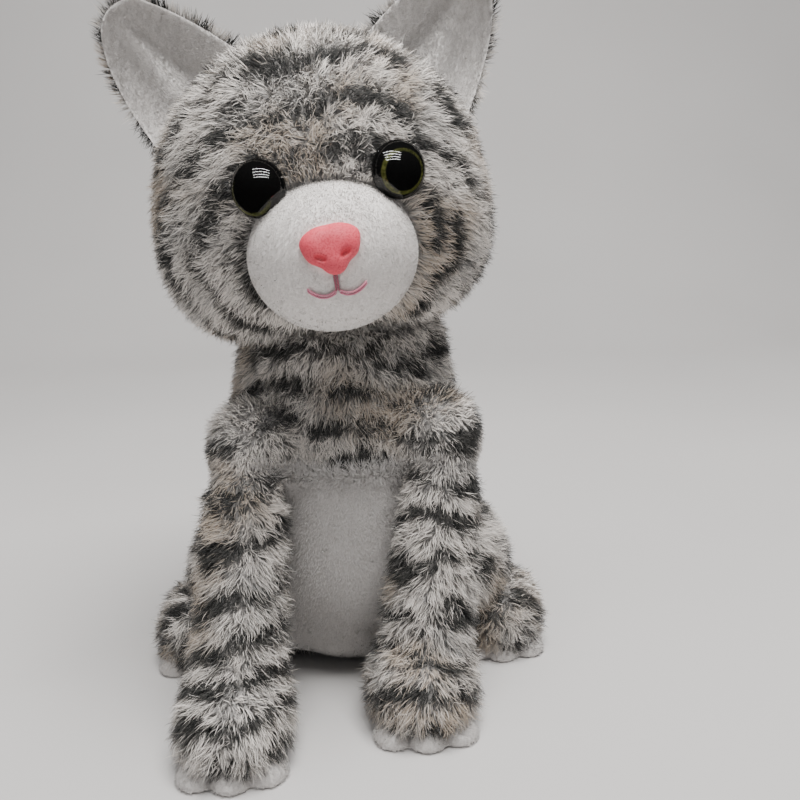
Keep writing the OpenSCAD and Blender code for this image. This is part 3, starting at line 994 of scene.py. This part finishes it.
def make_ear(name, side):
    root = ear_point(side, 0, 0, 0)
    tip, out = unit(ear_point(side, 0, 0, 1.0) - root), unit(ear_point(side, 1.0, 0, 0) - root)
    cross = (name + "_ear", ear_point(side, 0, 0, -7 * MM), ear_point(side, 0, 0, 7 * MM))
    heart = ear_point(side, 0, 0, 12 * MM)

    def toward_tip(p):
        return np.tile(tip, (len(p), 1))

    def above(p):
        return skull_field(p) > -1 * MM

    def outward(p):
        away = p - heart
        edge = smooth(size_of(away), 10 * MM, 24 * MM)[:, None]
        return tip * 0.6 + unit(away) * edge * 1.3

    def ear_band(p):
        return ((p - heart) @ tip) / (15 * MM) + 0.2 * ((p - heart) @ out) / (15 * MM)

    label = name + "_ear_lining"
    cover, grid, _, quads = ear_layer(label + "_cloth", side, 0, 2.4 * MM, WHITE)
    dress(cover, "head", [label], cross)
    fuzz = pile(label + "_pile", ear_field(side, -1), grid, quads, WHITE_PILE, 31 + side, 4.5,
                even(1.5 * MM), toward_tip, no_band, lift=0.6, width=0.1 * MM, tuft=0.2, keep=above)
    dress(fuzz, "head", cross=cross)
    label = name + "_ear_back"
    cover, _, grid, quads = ear_layer(label + "_cloth", side, 2.6 * MM, 4.6 * MM, TABBY_CLOTH)
    dress(cover, "head", [label], cross)
    fur = pile(label + "_pile", ear_field(side, 1), grid, quads, TABBY, 41 + side, 2.6,
               even(7.5 * MM), outward, ear_band, keep=above)
    dress(fur, "head", cross=cross)


# ---- trunk, neck, legs, tail ----


def trunk_gap(p):
    return np.minimum(leg_field("left", p), leg_field("right", p))


def trunk_comb(p):
    side = np.where(np.abs(p[:, 0]) < BELLY_HALF, 0.1, 0.45) * np.sign(p[:, 0])
    front = np.where(p[:, 1] < -20 * MM, -0.1, 0.1)
    return np.stack([side, front, -np.ones(len(p))], -1)


def trunk_band(p):
    return p[:, 2] / (16.5 * MM) + 0.4 * np.abs(p[:, 0] + 3 * MM) / (50 * MM)


def seam_gap(p):
    """Distance from the seams beside the front panels and down the back."""
    front = np.where(p[:, 1] < -20 * MM, np.abs(np.abs(p[:, 0]) - BELLY_HALF), 1)
    back = np.where(p[:, 1] > 0, np.abs(p[:, 0]), 1)
    return np.minimum(front, back)


def trunk_length(p):
    long = 5 * MM + 3.5 * MM * smooth(seam_gap(p), 0, 5 * MM)
    long = np.minimum(long, 3 * MM + np.maximum(head_field(p), 0))
    long = np.minimum(long, 3.5 * MM + 0.6 * np.abs(belly_line(p)))
    return np.minimum(long, limit(long, trunk_gap(p)))


def belly_line(p):
    """Negative on the white belly panel, whose upper edge dips in the middle."""
    top = BELLY_TOP + 1 * MM - 5 * MM * (1 - (p[:, 0] / BELLY_HALF) ** 2)
    half = BELLY_HALF + 4 * MM * smooth(p[:, 2], BELLY_TOP - 16 * MM, BELLY_TOP - 6 * MM)
    beside, above = np.abs(p[:, 0]) - half, p[:, 2] - top
    return np.maximum(np.maximum(beside, above), p[:, 1] + 22 * MM)


def belly_length(p):
    edge = smooth(p[:, 2], BELLY_TOP - 13 * MM, BELLY_TOP - 6 * MM)
    return 1.7 * MM + 5.5 * MM * edge


def belly_comb(p):
    edge = smooth(p[:, 2], BELLY_TOP - 14 * MM, BELLY_TOP - 4 * MM)
    return short_comb(p) * (1 - edge)[:, None] + edge[:, None] * np.array([0, -0.2, 1.2])


# given for the trunk's pieces that span the neck, between these two heights; dress only uses it as a flag
TWIST = ("neck", (NECK[0], NECK[1], 0.122), (NECK[0], NECK[1], NECK_STEP))


TRUNK_LOW = mm(-82, -74, -6)
BELLY_BACK = -22 * MM  # the front panels lie before this Y
PILE_SPLIT = 66 * MM  # the long pile of the sides is two pieces, above and below this height


def make_trunk():
    verts, quads = surface(trunk_field, TRUNK_LOW, mm(82, 62, 160), STEP)
    verts = snap(trunk_field, verts, belly_line, STEP * 0.5)
    verts = snap(trunk_field, verts, lambda p: np.abs(p[:, 0]) - BELLY_HALF, STEP * 0.4)
    centre = verts[quads].mean(1)
    open_top = centre[:, 2] < NECK_STEP + 1 * MM
    quads, centre = quads[open_top], centre[open_top]
    belly = belly_line(centre) < 0
    chest = ~belly & (np.abs(centre[:, 0]) < BELLY_HALF) & (centre[:, 1] < BELLY_BACK)
    chest &= centre[:, 2] > 60 * MM
    rest, left = ~belly & ~chest, centre[:, 0] > 0
    parts = {"belly_panel": belly, "chest_panel": chest,
             "left_side_cover": rest & left, "right_side_cover": rest & ~left}
    for seed, (node, chosen) in enumerate(parts.items()):
        part = quads[chosen]
        name = node.rsplit("_", 1)[0]
        if node == "belly_panel":
            cover = fabric(name + "_cloth", trunk_field, verts, part, WHITE)
            dress(cover, "torso", [node])
            fuzz = pile(name + "_pile", trunk_field, verts, part, WHITE_PILE, 51, 4.5,
                        belly_length, belly_comb, no_band, lift=0.45, width=0.12 * MM, tuft=0.35)
            dress(fuzz, "torso")
            continue
        cover = fabric(name + "_cloth", trunk_field, verts, part, TABBY_CLOTH)
        dress(cover, "torso", [node], TWIST)
        high = verts[part].mean(1)[:, 2] > PILE_SPLIT
        for label, share in (("upper", part[high]), ("lower", part[~high])):
            if not len(share):
                continue
            fur = pile("%s_%s_pile" % (name, label), trunk_field, verts, share, TABBY,
                       52 + seed + 4 * (label == "lower"), DENSE, trunk_length, trunk_comb, trunk_band,
                       keep=lambda p: (trunk_gap(p) > -2 * MM) & (p[:, 2] > 4 * MM))
            dress(fur, "torso", cross=TWIST)


def make_neck():
    def form(p):
        return np.maximum(ball(p, NECK, NECK_R - CLOTH), NECK_STEP - 0.5 * MM - p[:, 2])
    verts, quads = surface(form, NECK - 46 * MM, NECK + 46 * MM, STEP)
    quads = quads[verts[quads].mean(1)[:, 2] > NECK_STEP]
    cover = fabric("neck_cloth", form, verts, quads, TABBY_CLOTH)
    dress(cover, "neck", ["neck_cover"])
    fur = pile("neck_pile", lambda p: ball(p, NECK, NECK_R - CLOTH), verts, quads, TABBY, 61, DENSE,
               lambda p: limit(9 * MM, head_field(p), 2.5 * MM), trunk_comb, trunk_band)
    dress(fur, "neck")


def leg_bounds(name):
    shoulder, paw = SHOULDER[name], PAW[name]
    low = np.minimum(shoulder, paw) - mm(26, 34, 18)
    return low, np.maximum(shoulder, paw) + mm(26, 34, 24)


def make_leg(name, side):
    shoulder, paw = SHOULDER[name], PAW[name]
    down = unit(paw - shoulder)

    def field(p):
        return leg_field(name, p)

    def seam_x(p):
        return p[:, 0] - shoulder[0] - (p[:, 2] - shoulder[2]) / down[2] * down[0]

    verts, quads = surface(field, *leg_bounds(name), STEP)
    verts = snap(field, verts, seam_x, STEP * 0.45)
    outer = seam_x(verts[quads].mean(1)) * side > 0

    def leg_comb(p):
        across = np.clip(seam_x(p) / (6 * MM), -1, 1)
        foot = 1 - smooth(p[:, 2], 18 * MM, 38 * MM)
        front = smooth(p[:, 1], shoulder[1], paw[1] - 20 * MM)
        way = np.tile(down, (len(p), 1)) + across[:, None] * np.array([0.55, 0, 0])
        return way + (foot * front)[:, None] * np.array([0, -0.7, 0.2])

    def leg_band(p):
        low = 1 - smooth(p[:, 2], 20 * MM, 60 * MM)
        return trunk_band(p) + low * 0.5 * (p[:, 1] - paw[1]) / (17 * MM)

    def leg_length(p):
        long = 6 * MM + 2.8 * MM * smooth(np.abs(seam_x(p)), 0, 5 * MM)
        long = np.where(p[:, 2] < 9 * MM, np.minimum(long, 5 * MM), long)
        return limit(long, trunk_field(p))

    for part, chosen in (("outer", outer), ("inner", ~outer)):
        label = name + "_foreleg_" + part
        cover = fabric(label + "_cloth", field, verts, quads[chosen], TABBY_CLOTH)
        dress(cover, name + "_foreleg", [label + "_cover"])
        fur = pile(label + "_pile", field, verts, quads[chosen], TABBY,
                   71 + 4 * side + (part == "outer"), DENSE, leg_length, leg_comb, leg_band,
                   keep=lambda p: (trunk_field(p) > -3 * MM) & (p[:, 2] > 6 * MM))
        dress(fur, name + "_foreleg")
    make_sole(name + "_forepaw", name + "_foreleg", paw, PAW_R, PAW_L, name)


def make_sole(label, body, at, r, long, name):
    """White pad under a paw, with three toes that show along its front edge."""
    base = np.array([at[0], at[1], 0])

    def form(p):
        reach = np.array([0, long / 2 - r, 0])
        whole = bar((p - base) * np.array([1, 1, 2.4]), -reach, reach, r - 2.2 * MM) * 0.6
        for k in (-1, 0, 1):
            toe = base + np.array([k * r * 0.6, -long / 2 + (8.6 if k == 0 else 11.5) * MM, 0])
            whole = join(whole, egg(p - toe, np.array([r * 0.40, r * 0.46, 8.6 * MM])), 0.6 * MM)
        return np.maximum(whole, 0.3 * MM - p[:, 2])

    verts, quads = surface(form, base - np.array([r + 6 * MM, long / 2 + 6 * MM, 4 * MM]),
                           base + np.array([r + 6 * MM, long / 2 + 6 * MM, 14 * MM]), 1.5 * MM)
    pad = fabric(label + "_sole_cloth", form, verts, quads, WHITE)
    dress(pad, body, [label + "_sole"])
    fuzz = pile(label + "_sole_pile", form, verts, quads, WHITE_PILE, 81 + len(label), 4.5,
                even(1.2 * MM), short_comb, no_band, lift=0.5,
                width=0.1 * MM, tuft=0.15, keep=lambda p: p[:, 2] > 1.2 * MM)
    dress(fuzz, body)
    fore = "forepaw" in label
    cloth = leg_field if fore else foot_field
    lines = []
    for k in (-1, 1):
        z = np.linspace(5 * MM, at[2] + 6 * MM, 9)
        p = np.stack([np.full(9, at[0] + k * r * 0.3), np.full(9, at[1] - long / 2 - 2 * MM), z], -1)
        for _ in range(14):
            p[:, 1] += np.maximum(cloth(name, p) - 0.3 * MM, -1 * MM) * 0.7
        lines.append(p)
    stitches = threads(label + "_toe_threads", lines, 0.45 * MM, GREY_THREAD)
    node = (label if fore else name + "_hind") + "_toe_stitches"
    dress(stitches, body, [node])


def make_foot(name, side):
    foot = FOOT[name]

    def field(p):
        return foot_field(name, p)

    verts, quads = surface(field, foot - mm(26, 34, 18), foot + mm(26, 34, 26), STEP)
    cover = fabric(name + "_hind_foot_cloth", field, verts, quads, TABBY_CLOTH)
    dress(cover, "torso", [name + "_hind_foot_cover"])

    def foot_comb(p):
        across = np.clip((p[:, 0] - foot[0]) / (8 * MM), -1, 1)
        return np.stack([0.6 * across, -0.7 * np.ones(len(p)), -0.4 * np.ones(len(p))], -1)

    def foot_band(p):
        return (p[:, 1] - foot[1]) / (15 * MM) + 0.3 + p[:, 2] / (40 * MM)
    fur = pile(name + "_hind_foot_pile", field, verts, quads, TABBY, 91 + side, DENSE,
               lambda p: limit(9 * MM, trunk_field(p)), foot_comb, foot_band,
               keep=lambda p: (trunk_field(p) > 0) & (p[:, 2] > 5 * MM))
    dress(fur, "torso")
    make_sole(name + "_hind_foot", "torso", foot, FOOT_R, FOOT_L, name)


def make_tail():
    low, high = TAIL_SPINE.min(0) - 16 * MM, TAIL_SPINE.max(0) + 16 * MM
    verts, quads = surface(tail_field, low, high, 2.5 * MM)

    def nearest(p):
        return np.argmin(size_of(p[:, None] - TAIL_SPINE[None]), axis=1)
    ahead = unit(np.gradient(TAIL_SPINE, axis=0))
    cross = ("tail", TAIL_ROOT - mm(0, 4, 0), TAIL_ROOT + mm(0, 10, 0))
    cover = fabric("tail_cloth", tail_field, verts, quads, TABBY_CLOTH)
    dress(cover, "torso", ["tail_cover"], cross=cross)

    def tail_band(p):
        k = nearest(p)
        along = TAIL_STEPS[k] + ((p - TAIL_SPINE[k]) * ahead[k]).sum(-1)
        return along / (17 * MM)
    fur = pile("tail_pile", tail_field, verts, quads, TABBY, 95, DENSE,
               lambda p: limit(8.5 * MM, trunk_field(p)), lambda p: ahead[nearest(p)], tail_band,
               keep=lambda p: (trunk_field(p) > 0) & (p[:, 2] > 2 * MM))
    dress(fur, "torso", cross=cross)


def make_back_stitches():
    lines = []
    for k in range(12):
        z = (62 + 5 * k) * MM
        x = np.linspace(-3, 3, 7) * MM
        p = np.stack([x, np.full(7, 60 * MM), np.full(7, z) + 0.2 * x], -1)
        for _ in range(14):
            p[:, 1] -= (trunk_field(p) - 0.4 * MM) * 0.8
        lines.append(p)
    piece = threads("closing_threads", lines, 0.4 * MM, GREY_THREAD)
    dress(piece, "torso", ["closing_stitches"])


# ---- filling ----

INSET = 2.2 * MM  # how far the fibre lies inside the cloth's outer face


def pocket(place, p):
    """Room in the fibre for the back, stem and washer of an eye or the nose."""
    q = to_local(place, p)
    across = size_of(q[:, :2])
    back = np.maximum(across - 8.6 * MM, -7 * MM - q[:, 2])
    return np.minimum(back, np.maximum(across - 3.2 * MM, -15.5 * MM - q[:, 2]))


def head_filling(p):
    whole = np.minimum(head_field(p), muzzle_field(p)) + INSET
    for place in (EYE["left"], EYE["right"], NOSE):
        whole = np.maximum(whole, -pocket(place, p))
    return np.maximum(whole, -ball(p, NECK, NECK_R + 1 * MM))


def trunk_filling(p):
    below = np.maximum(trunk_field(p) + INSET, p[:, 2] - NECK_STEP)
    dome = np.maximum(ball(p, NECK, NECK_R - CLOTH - INSET), NECK_STEP - 4 * MM - p[:, 2])
    bag = np.maximum(size_of(p[:, :2] - NECK[:2]) - 27.4 * MM, np.abs(p[:, 2] - 21 * MM) - 11.4 * MM)
    return np.maximum(np.minimum(below, dome), -bag)


def fill(node, body, field, low, high, step=STEP, cross=None):
    verts, quads = surface(field, low, high, step)
    piece = solid(node.replace("stuffing", "filling"), verts, quads, FIBRE)
    dress(piece, body, [node], cross=cross)


def make_filling():
    fill("head_stuffing", "head", head_filling, HEAD_LOW, HEAD_HIGH)
    fill("torso_stuffing", "torso", trunk_filling, TRUNK_LOW, mm(82, 62, 186), cross=TWIST)
    fill("tail_stuffing", "tail", lambda p: tail_field(p) + INSET, TAIL_SPINE.min(0) - 16 * MM,
         TAIL_SPINE.max(0) + 16 * MM, 2.5 * MM)
    for name in SIDES:
        low, high = leg_bounds(name)
        fill(name + "_foreleg_stuffing", name + "_foreleg", lambda p: leg_field(name, p) + INSET, low, high)
        reach = mm(26, 34, 22)
        fill(name + "_hind_foot_stuffing", "torso",
             lambda p: np.maximum(foot_field(name, p) + INSET, 0.5 * MM - trunk_field(p)),
             FOOT[name] - reach, FOOT[name] + reach)


make_head()
make_muzzle()
make_eyes()
make_nose()
make_mouth()
make_trunk()
make_neck()
make_tail()
make_back_stitches()
for NAME, SIDE in SIDES.items():
    make_ear(NAME, SIDE)
    make_leg(NAME, SIDE)
    make_foot(NAME, SIDE)
make_filling()

# ---- floor, light and camera ----


def sweep():
    """Floor that curves up into a backdrop."""
    near, far, width, r = -1.6, 1.25, 3.2, 0.55
    profile = [(near, 0)] + [(far - r + r * math.sin(a), r - r * math.cos(a))
                             for a in np.linspace(0, math.pi / 2, 24)] + [(far, 2.4)]
    verts = np.array([(x, y, z) for y, z in profile for x in (-width, width)])
    faces = [[2 * k, 2 * k + 1, 2 * k + 3, 2 * k + 2] for k in range(len(profile) - 1)]
    look = Look("paper_sweep")
    grain = look.noise(look.place(), 900.0, 3.0)
    soft = look.noise(look.place(), 3.0, 2.0)
    tone = look.mix(look.span(soft, 0.2, 0.8), (0.555, 0.542, 0.535), (0.595, 0.582, 0.575))
    look.bump(grain, 0.05, 0.1 * MM)
    paper = look.finish(Base_Color=tone, Roughness=0.7, Specular_IOR_Level=0.2)
    floor = solid("paper_sweep", verts, faces, paper)
    floor.visible_glossy = False


def area_light(name, at, aim, width, height, power, colour=(1, 1, 1)):
    data = bpy.data.lights.new(name, "AREA")
    data.shape = "RECTANGLE"
    data.size, data.size_y = width, height
    data.energy = power
    data.color = colour
    lamp = put(name, data)
    lamp.location = at
    lamp.rotation_euler = (Vector(aim) - Vector(at)).to_track_quat("-Z", "Y").to_euler()
    return lamp


def set_camera():
    yaw, pitch, roll = math.radians(4.1), math.radians(13.4), math.radians(-1.1)
    ahead = Vector((math.sin(yaw) * math.cos(pitch), math.cos(yaw) * math.cos(pitch), -math.sin(pitch)))
    right = Vector((math.cos(yaw), -math.sin(yaw), 0))
    up = right.cross(ahead)
    right, up = (math.cos(roll) * right + math.sin(roll) * up, math.cos(roll) * up - math.sin(roll) * right)
    data = bpy.data.cameras.new("camera")
    data.sensor_width, data.lens = 36, 40.5
    data.clip_start = 0.01
    camera = put("camera", data)
    camera.matrix_world = Matrix((right, up, -ahead)).transposed().to_4x4()
    camera.location = (-0.0035, -0.396, 0.209)
    bpy.context.scene.camera = camera


sweep()
WARM = (1.0, 0.985, 0.965)
area_light("key", (0.15, -0.34, 1.45), (0, 0, 0.14), 0.9, 0.8, 43, WARM).visible_glossy = False
area_light("fill", (-1.2, -0.9, 0.8), (0, 0, 0.15), 1.0, 1.0, 1.6).visible_glossy = False
area_light("back", (0.3, 0.5, 1.9), (0, 0.9, 0.2), 1.6, 1.0, 6).visible_glossy = False
# four thin strips that show only as reflections in the eyes
for k in range(4):
    at = (-0.05, -0.33 - 0.12 * k, 0.88 - 0.06 * k)
    area_light("strip_%d" % k, at, (0.0, -0.05, 0.2), 0.7, 0.008, 3.2).visible_diffuse = False
world = bpy.data.worlds.new("room")
world.use_nodes = True
sky = world.node_tree.nodes["Background"].inputs
sky[0].default_value = (0.95, 0.97, 1.0, 1)
sky[1].default_value = 0.15
world.cycles_visibility.glossy = False
bpy.context.scene.world = world
set_camera()
